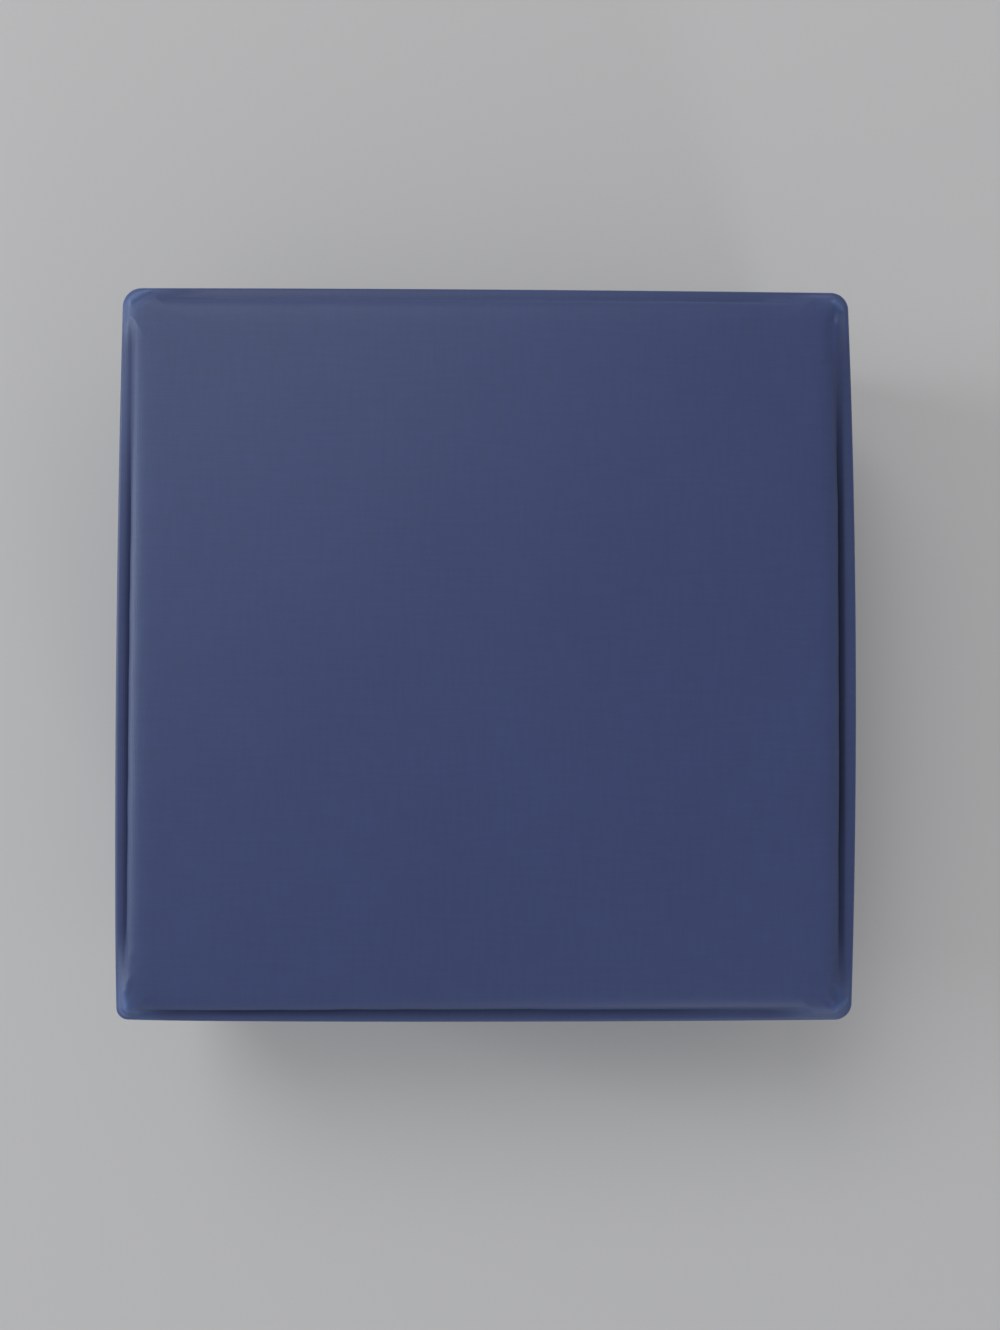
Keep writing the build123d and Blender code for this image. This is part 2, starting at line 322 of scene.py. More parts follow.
bluePaper = pulpMaterial("bluePaper", {
    "grain": (0.35, 1.0, 1.0),
    "fibre": 850.0, "speck": 260.0, "dark": (0.026, 0.034, 0.085), "light": (0.044, 0.055, 0.125),
    "speckColour": (0.075, 0.09, 0.17), "speckShare": 0.35,
    "rough": (0.88, 0.72), "specular": 0.25, "bump": 0.45, "relief": 0.05,
})
softFoam = pulpMaterial("softFoam", {
    "fibre": 1400.0, "speck": 900.0, "dark": (0.62, 0.60, 0.52), "light": (0.74, 0.72, 0.65),
    "speckColour": (0.42, 0.40, 0.33), "speckShare": 0.8,
    "rough": (0.98, 0.9), "specular": 0.1, "bump": 0.8, "relief": 0.2,
})
print("box: materials made")

# The plan shared by everything that goes round the box
plan = {
    "half": 75.0,
    "perEdge": 88,  # steps along a side, crowded towards the corners
    "perCorner": 12,  # steps round a corner
    "crowding": 0.8,
    "cornerRadius": 3.6, "leastRadius": 0.12,
    "boardBows": (0.35, 1.0, 0.25, 1.0),  # outward bow of the front, right, back and left walls
    "outside": 0.5,  # cloth that is in by less than this lies on a wall's outer face
}
# tucked tabs show through the side flaps, whose edges lie along the corners
tabs = {"step": 0.14, "edge": (8.6, 9.6), "roundTo": 0.5}
sideNormals = (Vector((0, -1)), Vector((1, 0)), Vector((0, 1)), Vector((-1, 0)))


# A station is a side, how far along it from -1 to 1, and how far round the corner at its end
def makeStations():
    stations = []
    for side in range(4):
        for step in range(plan["perEdge"] + 1):
            even = 2 * step / plan["perEdge"] - 1
            stations.append((side, even + plan["crowding"] * math.sin(math.pi * even) / math.pi, 0.0))
        for step in range(1, plan["perCorner"]):
            stations.append((side, 1.0, math.pi / 2 * step / plan["perCorner"]))
    return stations


stations = makeStations()
perSide = plan["perEdge"] + plan["perCorner"]


# A station's spot on the plan: how far in from the outer face, and how round the corner is there
def onPlan(station, inset, radius, bows, cornerShares=(1, 1, 1, 1)):
    side, along, turn = station
    reach = plan["half"] - inset
    startRadius, endRadius = radius * cornerShares[side - 1], radius * cornerShares[side]
    along = (reach - endRadius) * (1 + along) / 2 - (reach - startRadius) * (1 - along) / 2
    across = sideNormals[(side + 1) % 4] * (along + endRadius * math.sin(turn))
    spot = across + sideNormals[side] * (reach - endRadius + endRadius * math.cos(turn))
    x, y = spot.x / plan["half"], spot.y / plan["half"]
    wide = bows[1] if x > 0 else bows[3]
    deep = bows[2] if y > 0 else bows[0]
    return Vector((spot.x + wide * x * (1 - y * y), spot.y + deep * y * (1 - x * x)))


def shellRadius(inset):
    return max(plan["cornerRadius"] - inset, plan["leastRadius"])


def ease(value, low, high):
    share = min(max((value - low) / (high - low), 0.0), 1.0)
    return share * share * (3 - 2 * share)


def between(table, place):
    if place <= table[0][0]:
        return table[0][1]
    for (low, first), (high, second) in zip(table, table[1:]):
        if place <= high:
            return first + (second - first) * (place - low) / (high - low)
    return table[-1][1]


def ripple(x, y, z, size, height):
    return height * noise.noise(Vector((x, y, z)) / size)


# How far a station stands from the start and from the end of its side's straight
def fromCorners(station):
    side, along, turn = station
    straight = plan["half"] - plan["cornerRadius"]
    if turn:
        return 2 * straight, 0.0
    return straight * (1 + along), straight * (1 - along)


def tabStep(station):
    side, along, turn = station
    if side in (0, 2):
        return 0.0
    if turn:
        return tabs["step"] * (1 - ease(turn, 0.0, tabs["roundTo"]))
    return tabs["step"] * (1 - ease(min(fromCorners(station)), *tabs["edge"]))


# How the cloth stands off a wall: over the tabs, and in slight ripples
def wallRelief(cloth, station, spot, height):
    size, lift, seed = cloth["wallRipple"]
    out = tabStep(station) * ease(height, *cloth["tabFoot"]) * (1 - ease(height, *cloth["tabHead"]))
    out += ripple(spot.x, spot.y, height + seed, size, lift)
    return spot.normalized() * out


def loopEdges(mesh, ring):
    return [mesh.edges.get((ring[i - 1], ring[i])) for i in range(len(ring))]


# Rings of vertices extruded one from the next, each moved to its own place
def wrapRound(mesh, steps, spotAt):
    made = bmesh.ops.create_circle(mesh, cap_ends=False, radius=1.0, segments=len(stations))
    ring = sorted(made["verts"], key=lambda vert: vert.index)
    rings = []
    for step in range(steps):
        if step:
            grown = bmesh.ops.extrude_edge_only(mesh, edges=loopEdges(mesh, ring))["geom"]
            fresh = {part for part in grown if isinstance(part, bmesh.types.BMVert)}
            ring = [next(e.other_vert(vert) for e in vert.link_edges if e.other_vert(vert) in fresh) for vert in ring]
        for vert, station in zip(ring, stations):
            vert.co = Vector(spotAt(station, step)) * mm
        rings.append(ring)
    return rings


# UVs in metres, as the cloth lay before it was folded over the edge at one ring
def unfold(mesh, rings, edgeRing, openTop=False):
    layer = mesh.loops.layers.uv.new("unfolded")
    where = {vert: (u, v) for v, ring in enumerate(rings) for u, vert in enumerate(ring)}
    middle = plan["perEdge"] // 2
    lengths = [0.0]
    for low, high in zip(rings, rings[1:]):
        lengths.append(lengths[-1] + (high[middle].co - low[middle].co).length)
    half, radius = plan["half"] * mm, plan["cornerRadius"] * mm
    straight = half - radius
    for face in mesh.faces:
        spots = [where.get(loop.vert) for loop in face.loops]
        if None in spots or (openTop and min(v for u, v in spots) >= edgeRing):
            for loop in face.loops:
                loop[layer].uv = loop.vert.co.xy
            continue
        us = sorted({u for u, v in spots})
        first = us[-1] if us[-1] - us[0] > 1 else us[0]
        side = (first // perSide + (first % perSide >= plan["perEdge"] + plan["perCorner"] // 2)) % 4
        for loop, (u, v) in zip(face.loops, spots):
            ownSide, along, turn = stations[u]
            if ownSide == side:
                reach = straight * along + radius * turn
            else:
                reach = -(straight + radius * (math.pi / 2 - turn))
            down = half + lengths[edgeRing] - lengths[v]
            loop[layer].uv = sideNormals[(side + 1) % 4] * reach + sideNormals[side] * down


# A ring closed with a grid, whose height follows a rule
def fillPanel(mesh, ring, heightAt):
    start = plan["perEdge"] + plan["perCorner"] // 2
    turned = ring[start:] + ring[:start]  # begins on a corner's diagonal
    edges = []
    for side in (0, 2):
        run = [turned[(side * perSide + i) % len(turned)] for i in range(perSide + 1)]
        edges += [mesh.edges.get((a, b)) for a, b in zip(run, run[1:])]
    filled = bmesh.ops.grid_fill(mesh, edges=edges, mat_nr=0, use_smooth=True, use_interp_simple=False)
    for vert in {vert for face in filled["faces"] for vert in face.verts} - set(ring):
        vert.co.z = heightAt(vert.co.x / mm, vert.co.y / mm) * mm


def finishPiece(mesh, name, material, body=None):
    data = bpy.data.meshes.new(name)
    mesh.to_mesh(data)
    mesh.free()
    data.materials.append(material)
    for face in data.polygons:
        face.use_smooth = True
    piece = bpy.data.objects.new(name, data)
    scene.collection.objects.link(piece)
    if body:
        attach(piece, body)
    return piece


# How much lighter the cloth is painted at each point, for its material; on the lid this is a painted highlight
def lightenedLayer(piece, valueAt=lambda spot: 0.0):
    layer = piece.data.attributes.new("lightened", "FLOAT", "POINT")
    layer.data.foreach_set("value", [valueAt(vert.co / mm) for vert in piece.data.vertices])


def addThickness(piece, thickness):
    solid = piece.modifiers.new("thickness", "SOLIDIFY")
    solid.thickness = thickness * mm
    solid.offset = -1.0  # inwards
    solid.use_even_offset = False


# Lid cloth: turn-in, mouth, walls, rim, crease and panel in one piece. Fours of numbers go front, right, back, left.
lidCloth = {
    "thickness": 0.4,
    "bows": (0.36, 1.37, 0.24, 0.67),
    "padBows": (-0.1, 0.42, 0.24, 0.0),  # the pad is cut straighter than the walls bow
    "padInsets": (-0.9, -0.3, -0.75, -0.9),  # the pad isn't quite central on its board
    "padFrom": (0.3, 3.2),  # insets over which the cloth goes from the walls' line to the pad's
    "cornerShares": (0.95, 1.0, 1.1, 0.64),  # of each radius: front right, back right, back left, front left
    "cornerTuck": (0.2, 0.28, 8.0),  # how far the front left corner is drawn in, and over what reach
    "wallTop": 48.1, "wallRipple": (17.0, 0.07, 0.0),  # size, height and seed
    "tabFoot": (30.2, 31.0), "tabHead": (46.5, 48.0),
    "rimTop": 49.6, "rimRound": (0.8, 1.25), "rimSteps": 6,
    "panelTop": 52.0, "crown": 0.75, "crownReach": 71.0, "crownPower": 2.6, "crownFrom": 4.0,
    "panelRipples": ((3.0, 26.0, 0.10), (9.0, 9.0, 0.02)),  # seed, size and height; the first fades at the edge
    "rippleEdge": (4.0, 14.0), "rippleFrom": (3.5, 7.0),
    "wander": (1.0, 7.0, 0.14), "wanderFrom": (2.0, 2.9), "wanderTo": (5.0, 8.0),  # how the pressed line strays
    "creaseEase": 0.75,
    "creaseDepth": (1.0, 1.0, 0.45, 0.95),
    # how far the crease is pressed in, by distance from the start of each side's straight
    "creaseAlong": (
        (
            (0, 0.0), (1.5, 0.25), (3.4, 0.5), (6.4, 0.75), (9.6, 0.88), (14, 0.88), (22, 1.0), (60, 0.92),
            (110, 0.84), (123, 0.64), (131, 0.66), (135.3, 0.38), (139, 0.0),
        ),
        (
            (3, 0.0), (7.5, 0.4), (10.6, 0.55), (14.8, 0.72), (25, 0.8), (41, 1.0), (102, 1.0), (119, 0.6),
            (127.6, 0.28), (136, 0.0),
        ),
        ((4, 0.0), (13, 0.7), (128, 0.7), (140, 0.0)),
        (
            (2.2, 0.0), (5, 0.28), (8, 0.46), (23, 0.55), (40, 0.84), (60, 1.0), (100, 0.94), (118, 0.85),
            (128, 0.78), (134, 0.35), (138.5, 0.0),
        ),
    ),
    # painted shade in the crease and over each side's rim, standing in for the panel's shadow, by inset, and the
    # heights over which it clears on the pad
    "paintedShadeByInset": (
        ((0.3, 0.0), (0.8, 0.16), (1.6, 0.34), (2.3, 0.44), (2.8, 0.3), (3.1, 0.1)),
        ((1.4, 0.0), (1.8, 0.12), (2.1, 0.45), (2.45, 0.9), (3.2, 1.0)),
        ((1.0, 0.0), (3.2, 0.02)),
        ((1.6, 0.0), (2.1, 0.1), (2.6, 0.3), (3.2, 0.45)),
    ),
    "shadeEnds": (49.9, 51.5),
    # inside, bottom fold and wall: inset and height
    "wall": (
        (3.5067, 42.0), (3.5067, 38.0), (3.5067, 34.5), (3.5067, 32.0), (3.5067, 30.9), (3.47, 30.4),
        (3.33, 30.12), (3.05, 30.01), (2.4, 29.99), (1.6, 29.98), (0.8, 29.99), (0.4, 30.05), (0.13, 30.22),
        (0.0, 30.6), (0.0, 31.6), (0.0, 33.5), (0.0, 36.0), (0.0, 39.0), (0.0, 42.0), (0.0, 44.5), (0.0, 46.5),
        (0.0, 47.6), (0.0, 48.05),
    ),
    # from the rim inwards: inset and height where it is creased, then where it bridges a corner
    "top": (
        ((1.15, 49.59), (1.1, 49.8)), ((1.5, 49.555), (1.4, 50.02)), ((1.85, 49.495), (1.7, 50.24)),
        ((2.15, 49.425), (2.0, 50.45)), ((2.42, 49.34), (2.3, 50.65)), ((2.66, 49.255), (2.55, 50.81)),
        ((2.87, 49.17), (2.8, 50.95)), ((3.03, 49.095), (3.05, 51.08)), ((3.15, 49.06), (3.3, 51.2)),
        ((3.24, 49.12), (3.55, 51.31)), ((3.29, 49.32), (3.8, 51.41)), ((3.32, 49.6), (4.05, 51.5)),
        ((3.36, 49.92), (4.32, 51.58)), ((3.43, 50.24), (4.62, 51.66)), ((3.55, 50.55), (4.95, 51.73)),
        ((3.75, 50.85), (5.3, 51.79)), ((4.05, 51.14), (5.7, 51.85)), ((4.45, 51.39), (6.2, 51.9)),
        ((4.95, 51.61), (6.8, 51.94)), ((5.6, 51.8), (7.6, 51.97)), ((6.5, 51.93), (8.7, 51.99)),
        ((8.2, 52.0), (10.2, 52.0)), ((11.0, 52.0), (12.5, 52.0)), ((14.0, 52.0), (14.5, 52.0)),
        ((18.0, 52.0), (18.0, 52.0)),
    ),
    # the corners' radius, by inset
    "topRadii": (
        (0.0, 3.6), (1.35, 3.0), (2.5, 2.4), (3.3, 1.9), (4.5, 1.9), (6.0, 2.6), (9.0, 4.5), (18.0, 9.0),
    ),
    # folds drawn tight at each corner: line on the plan from the box's outer corner, width and height
    "pulls": {
        (-1, 1): (
            (((2.4, 3.4), (5.8, 1.3)), 0.65, 0.36), (((3.5, 4.4), (6.8, 2.3)), 0.5, -0.14),
            (((4.2, 5.1), (6.4, 3.6)), 0.5, 0.1),
        ),
        (1, 1): (
            (((3.6, 2.7), (2.1, 4.2)), 0.42, 0.46), (((3.6, 5.1), (3.9, 6.4)), 0.8, -0.55),
            (((2.4, 6.4), (2.5, 7.4)), 0.7, 0.15), (((4.2, 7.4), (4.3, 15.5)), 1.0, -0.25),
        ),
        (-1, -1): (
            (((2.7, 6.4), (3.3, 3.7)), 0.85, 0.36), (((3.2, 3.3), (4.9, 2.0)), 0.42, 0.22),
            (((3.5, 14.0), (3.1, 7.4)), 0.9, 0.2),
        ),
        (1, -1): (
            (((3.9, 2.8), (1.7, 4.6)), 0.42, 0.44), (((3.9, 5.6), (4.1, 7.2)), 0.9, -0.5),
            (((5.3, 4.2), (5.6, 4.5)), 0.7, -0.2),
        ),
    },
    "pullReach": 16.0,
    # painted highlight at the corners: its reach, its start at left and right, its gain on a fold, its foot
    "lightenFrom": (137.5, 144.5), "highlightStart": (0.45, 0.25), "highlightGain": 1.8, "highlightAbove": 48.5,
}


def rimArc():
    across, up = lidCloth["rimRound"]
    arc = []
    for step in range(1, lidCloth["rimSteps"] + 1):
        angle = math.pi / 2 * step / lidCloth["rimSteps"]
        arc.append((across - across * math.cos(angle), lidCloth["rimTop"] - up + up * math.sin(angle)))
    return arc


lidWall = list(lidCloth["wall"]) + rimArc()
lidEdgeRing = len(lidCloth["wall"]) + lidCloth["rimSteps"] // 2 - 1


def topRadius(inset):
    return between(lidCloth["topRadii"], inset)


def padShift(spot):
    front, right, back, left = lidCloth["padInsets"]
    x, y = (c / (2 * plan["half"]) + 0.5 for c in spot)
    return Vector((left * (1 - x) - right * x, front * (1 - y) - back * y))


def creaseShare(station):
    side, along, turn = station
    return 0.0 if turn else between(lidCloth["creaseAlong"][side], fromCorners(station)[0])


def pulledAt(spot):
    lift = 0.0
    for (signX, signY), folds in lidCloth["pulls"].items():
        place = Vector((plan["half"] - spot.x * signX, plan["half"] - spot.y * signY))
        if max(place) > lidCloth["pullReach"]:
            continue
        for (start, end), width, height in folds:
            first, line = Vector(start), Vector(end) - Vector(start)
            share = min(max((place - first).dot(line) / line.length_squared, 0.0), 1.0)
            lift += height * math.exp(-((place - first - line * share).length / width) ** 2)
    return lift


def cornerTuck(spot):
    across, deep, reach = lidCloth["cornerTuck"]
    fromCorner = Vector((plan["half"] + spot.x, plan["half"] + spot.y)).length
    return Vector((across, deep)) * math.exp(-fromCorner / reach)


def crownAt(x, y):
    reach, power = lidCloth["crownReach"], lidCloth["crownPower"]
    wide, deep = min(abs(x) / reach, 1.0), min(abs(y) / reach, 1.0)
    return lidCloth["crown"] * (1 - wide ** power) * (1 - deep ** power)


def panelRipple(x, y):
    edge = ease(plan["half"] - max(abs(x), abs(y)), *lidCloth["rippleEdge"])
    broad, fine = lidCloth["panelRipples"]
    return ripple(x, y, *broad) * edge + ripple(x, y, *fine)


def lidSpot(station, step):
    make, side = lidCloth, station[0]
    bows, corners, rimTop = make["bows"], make["cornerShares"], make["rimTop"]
    if step < len(lidWall):
        inset, height = lidWall[step]
        spot = onPlan(station, inset, shellRadius(inset), bows, corners)
        spot += cornerTuck(spot)
        if inset < plan["outside"] and height < make["wallTop"]:
            spot += wallRelief(make, station, spot, height)
        return spot.x, spot.y, height
    (pressed, floor), (inset, height) = make["top"][step - len(lidWall)]
    if floor <= rimTop:
        floor = rimTop + (floor - rimTop) * make["creaseDepth"][side]
    share = creaseShare(station) ** make["creaseEase"]
    inset += (pressed - inset) * share
    height += (floor - height) * share
    onPad = ease(inset, *make["padFrom"])
    bows = [wall + (pad - wall) * onPad for wall, pad in zip(bows, make["padBows"])]
    spot = onPlan(station, inset, topRadius(inset), bows, corners)
    spot += padShift(spot) * onPad + cornerTuck(spot) * (1 - onPad)
    wander = ripple(spot.x, spot.y, *make["wander"]) * share * (1 - ease(pressed, *make["wanderTo"]))
    spot -= sideNormals[side] * (wander * ease(pressed, *make["wanderFrom"]))
    height += pulledAt(spot)
    if pressed > make["crownFrom"]:
        height += crownAt(spot.x, spot.y)
    height += panelRipple(spot.x, spot.y) * ease(inset, *make["rippleFrom"])
    return spot.x, spot.y, height


def panelHeight(x, y):
    return lidCloth["panelTop"] + crownAt(x, y) + panelRipple(x, y)


# Painted highlight: lighter at the corners, and lightest on the folds
def paintedHighlightAt(spot):
    if spot.z <= lidCloth["highlightAbove"]:
        return 0.0
    start = lidCloth["highlightStart"][0 if spot.x < 0 else 1]
    corner = ease(abs(spot.x) + abs(spot.y), *lidCloth["lightenFrom"])
    return corner * min(start + lidCloth["highlightGain"] * max(pulledAt(spot), 0.0), 1.0)


def buildLidCloth():
    mesh = bmesh.new()
    # painted shade: a layer that darkens the crease and the rim beside it, fading out up the pad
    paintedShade = mesh.verts.layers.float.new("paintedShade")
    rings = wrapRound(mesh, len(lidWall) + len(lidCloth["top"]), lidSpot)
    for ring, row in zip(rings[len(lidWall):], lidCloth["top"]):
        inset, height = row[0]
        climb = 1 - ease(height, *lidCloth["shadeEnds"])
        for vert, station in zip(ring, stations):
            vert[paintedShade] = creaseShare(station) * climb * between(lidCloth["paintedShadeByInset"][station[0]], inset)
    fillPanel(mesh, rings[-1], panelHeight)
    unfold(mesh, rings, lidEdgeRing, openTop=True)
    bmesh.ops.recalc_face_normals(mesh, faces=mesh.faces)
    piece = finishPiece(mesh, "lidCloth", blueCloth, "lid")
    # painted highlight on the corners and the folds
    lightenedLayer(piece, paintedHighlightAt)
    addThickness(piece, lidCloth["thickness"])
    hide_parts("lid_cover")


buildLidCloth()
print("box: lid cloth wrapped")

# Base cloth: turned under the floor, up the walls, over the rim and down inside
baseCloth = {
    "thickness": 0.4,
    "edgeRing": 18,
    "wallFrom": 0.5, "wallTop": 29.8, "wallRipple": (19.0, 0.07, 60.0),  # size, height and seed
    "tabFoot": (0.7, 1.6), "tabHead": (28.2, 29.4),
    "lightenFrom": 148.5, "lighten": 0.35,
    "wall": (
        (14.0, 0.25), (10.0, 0.25), (6.0, 0.25), (3.0, 0.25), (1.4, 0.26), (0.7, 0.30), (0.3, 0.42),
        (0.08, 0.7), (0.0, 1.15), (0.0, 2.5), (0.0, 5.0), (0.0, 9.0), (0.0, 13.0), (0.0, 17.0), (0.0, 21.0),
        (0.0, 25.0), (0.0, 27.5), (0.0, 28.9), (0.0, 29.4), (0.12, 29.75), (0.4, 29.94), (0.8, 30.0),
        (1.6, 30.0), (2.5, 30.0), (3.2, 30.0), (3.6, 29.96), (3.84, 29.8), (3.92, 29.4), (3.92, 28.0),
        (3.92, 24.0), (3.92, 18.0),
    ),
}


def baseSpot(station, step):
    inset, height = baseCloth["wall"][step]
    spot = onPlan(station, inset, shellRadius(inset), plan["boardBows"])
    if inset < plan["outside"] and baseCloth["wallFrom"] < height < baseCloth["wallTop"]:
        spot += wallRelief(baseCloth, station, spot, height)
    return spot.x, spot.y, height


def buildBaseCloth():
    mesh = bmesh.new()
    rings = wrapRound(mesh, len(baseCloth["wall"]), baseSpot)
    unfold(mesh, rings, baseCloth["edgeRing"])
    bmesh.ops.recalc_face_normals(mesh, faces=mesh.faces)
    piece = finishPiece(mesh, "baseCloth", blueCloth, "base")
    # lighter colour at the corners
    corner, lighten = baseCloth["lightenFrom"], baseCloth["lighten"]
    lightenedLayer(piece, lambda spot: lighten if abs(spot.x) + abs(spot.y) > corner else 0.0)
    addThickness(piece, baseCloth["thickness"])
    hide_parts("base_cover")


buildBaseCloth()
print("box: base cloth wrapped")

# Foam panel under the lid's cloth: straight sides, a rounded shoulder and a crowned top
lidFoam = {
    "profile": (
        (3.95, 49.02), (3.95, 49.6), (3.96, 50.2), (4.1, 50.6), (4.5, 50.9), (5.2, 51.2), (6.5, 51.45),
        (9.0, 51.57), (13.0, 51.6), (18.0, 51.6),
    ),
    "crownFrom": 4.2,
}


def foamSpot(station, step):
    inset, height = lidFoam["profile"][step]
    spot = onPlan(station, inset, topRadius(inset), lidCloth["padBows"])
    spot += padShift(spot)
    return spot.x, spot.y, height + (crownAt(spot.x, spot.y) if inset > lidFoam["crownFrom"] else 0.0)


def buildLidFoam():
    mesh = bmesh.new()
    rings = wrapRound(mesh, len(lidFoam["profile"]), foamSpot)
    foot, top = lidFoam["profile"][0][1], lidFoam["profile"][-1][1]
    fillPanel(mesh, rings[-1], lambda x, y: top + crownAt(x, y))
    fillPanel(mesh, rings[0], lambda x, y: foot)
    bmesh.ops.recalc_face_normals(mesh, faces=mesh.faces)
    piece = finishPiece(mesh, "lidFoam", softFoam, "lid")
    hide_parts("lid_pad")


buildLidFoam()
print("box: foam panel made")

# Hinge cloth: a strip pasted across the joint on its outer face, pressed a little into it
hingeCloth = {
    "length": 140.8, "leaf": 13.0, "seam": 30.0, "outerFace": 75.4, "bow": 0.25,
    "thickness": 0.4, "groove": 0.2, "grooveWidth": 0.7, "foldReach": 1.3,
    "columns": 110, "rows": 64, "rowSpread": (0.3, 0.7),  # evenly, and crowded to the joint
    "fray": (3.0, 0.12), "edge": 0.999,  # only the strip's outermost edge is frayed
    "pressedEdge": 0.14, "pressedWidth": 0.6,
    "ripple": (12.0, 0.06), "rippleFrom": (0.5, 3.0),
    "lighten": 0.5, "lightenWidth": 1.2,
}


def hingeSpot(u, v):
    make = hingeCloth
    leaf, half = make["leaf"], make["length"] / 2
    even, crowded = make["rowSpread"]
    x, z = half * u, leaf * (even * v + crowded * v ** 3)
    frayed = ripple(x, z, 4.0, *make["fray"])
    x += frayed if abs(u) > make["edge"] else 0.0
    z += frayed if abs(v) > make["edge"] else 0.0
    toEdge = min(half - abs(half * u), leaf * (1 - abs(v)))
    y = make["outerFace"] + make["bow"] * (1 - (x / plan["half"]) ** 2)
    groove = make["groove"] * math.exp(-((z / make["grooveWidth"]) ** 2))
    y -= groove + make["pressedEdge"] * (1 - ease(toEdge, 0.0, make["pressedWidth"]))
    y += ripple(x, z, 2.0, *make["ripple"]) * ease(abs(z), *make["rippleFrom"])
    return x, y, z + make["seam"]


def buildHingeCloth():
    mesh = bmesh.new()
    bmesh.ops.create_grid(mesh, x_segments=hingeCloth["columns"], y_segments=hingeCloth["rows"], size=1.0)
    layer = mesh.loops.layers.uv.new("unfolded")
    for vert in mesh.verts:
        vert.co = Vector(hingeSpot(vert.co.x, vert.co.y)) * mm
    for face in mesh.faces:
        for loop in face.loops:
            loop[layer].uv = loop.vert.co.x, loop.vert.co.z
    mesh.normal_update()
    if sum(face.normal.y for face in mesh.faces) < 0:
        bmesh.ops.reverse_faces(mesh, faces=mesh.faces)
    bmesh.ops.solidify(mesh, geom=mesh.faces, thickness=hingeCloth["thickness"] * mm)
    piece = finishPiece(mesh, "hingeCloth", blueCloth)
    # lighter colour along the joint
    seam, reach, width = hingeCloth["seam"], hingeCloth["foldReach"], hingeCloth["lightenWidth"]
    lightenedLayer(piece, lambda spot: hingeCloth["lighten"] * math.exp(-(((spot.z - seam) / width) ** 2)))
    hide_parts("hinge_strip")
    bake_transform(piece)


buildHingeCloth()
print("box: hinge cloth pasted")

# Satin over the neck, lower across the back and sloping up from it
neckSatin = {
    "thickness": 0.3, "top": 37.0, "backTop": 29.7, "slopeFrom": 60.18, "slopeTo": 69.18,
    "turnDown": 22.0, "foot": 3.2, "fold": 1.0,
    "outerInset": 3.92, "outerRadius": 0.3, "innerInset": 6.12, "innerRadius": 0.9, "middle": 5.0,
    # shares of the way up outside and inside, and between them insets and drops over the top
    "outside": (0.0, 0.3, 0.6, 0.85),
    "over": (
        (3.92, 1.0), (3.94, 0.5), (4.04, 0.2), (4.3, 0.03), (4.7, 0.0), (5.0, 0.0), (5.35, 0.0), (5.74, 0.03),
        (6.0, 0.2), (6.1, 0.5), (6.12, 1.0),
    ),
    "inside": (0.92, 0.8, 0.65, 0.5, 0.35, 0.2, 0.08, 0.0),
    "edgeRing": 9,
    "broadRipple": (14.0, 0.10), "fineRipple": (4.0, 0.05), "fineStretch": 0.3,
}
neckRows = [("outside", neckSatin["outerInset"], share) for share in neckSatin["outside"]]
neckRows += [("over", inset, drop) for inset, drop in neckSatin["over"]]
neckRows += [("inside", neckSatin["innerInset"], share) for share in neckSatin["inside"]]


def liningRadius(make, inset):
    return make["outerRadius" if inset < make["middle"] else "innerRadius"]


def neckTopAt(y):
    drop = min(max((y - neckSatin["slopeFrom"]) / (neckSatin["slopeTo"] - neckSatin["slopeFrom"]), 0.0), 1.0)
    return neckSatin["top"] - (neckSatin["top"] - neckSatin["backTop"]) * drop


def neckSpot(station, step):
    part, inset, value = neckRows[step]
    spot = onPlan(station, inset, liningRadius(neckSatin, inset), plan["boardBows"])
    top = neckTopAt(spot.y)
    if part == "over":
        return spot.x, spot.y, top - value
    foot = neckSatin["turnDown"] if part == "outside" else neckSatin["foot"]
    height = foot + (top - neckSatin["fold"] - foot) * value
    if part == "inside":
        soft = ripple(spot.x, spot.y, height, *neckSatin["broadRipple"])
        soft += ripple(spot.x, spot.y, height * neckSatin["fineStretch"], *neckSatin["fineRipple"])
        spot -= spot.normalized() * abs(soft)
    return spot.x, spot.y, height


def buildNeckSatin():
    mesh = bmesh.new()
    rings = wrapRound(mesh, len(neckRows), neckSpot)
    unfold(mesh, rings, neckSatin["edgeRing"])
    bmesh.ops.recalc_face_normals(mesh, faces=mesh.faces)
    piece = finishPiece(mesh, "neckSatin", ivorySatin, "base")
    lightenedLayer(piece)
    addThickness(piece, neckSatin["thickness"])
    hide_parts("neck_lining")


buildNeckSatin()
print("box: neck covered")

# Satin-covered card round the inside of the lid's walls
lidWallSatin = {
    "profile": (
        (3.52, 46.95), (3.51, 44.0), (3.51, 41.0), (3.51, 39.2), (3.54, 38.85), (3.64, 38.6), (3.81, 38.5),
        (3.98, 38.6), (4.08, 38.85), (4.11, 39.3), (4.12, 40.5), (4.12, 42.5), (4.11, 45.0), (4.1, 46.95),
    ),
    "outerRadius": 0.2, "innerRadius": 0.8, "middle": 3.8,
    "edgeRing": 6,
    "ripple": (9.0, 0.12), "rippleInset": 4.0, "rippleFrom": (38.6, 40.0),
}


def wallSatinSpot(station, step):
    inset, height = lidWallSatin["profile"][step]
    spot = onPlan(station, inset, liningRadius(lidWallSatin, inset), plan["boardBows"])
    if inset > lidWallSatin["rippleInset"]:
        soft = abs(ripple(spot.x, spot.y, height, *lidWallSatin["ripple"]))
        spot -= spot.normalized() * soft * ease(height, *lidWallSatin["rippleFrom"])
    return spot.x, spot.y, height


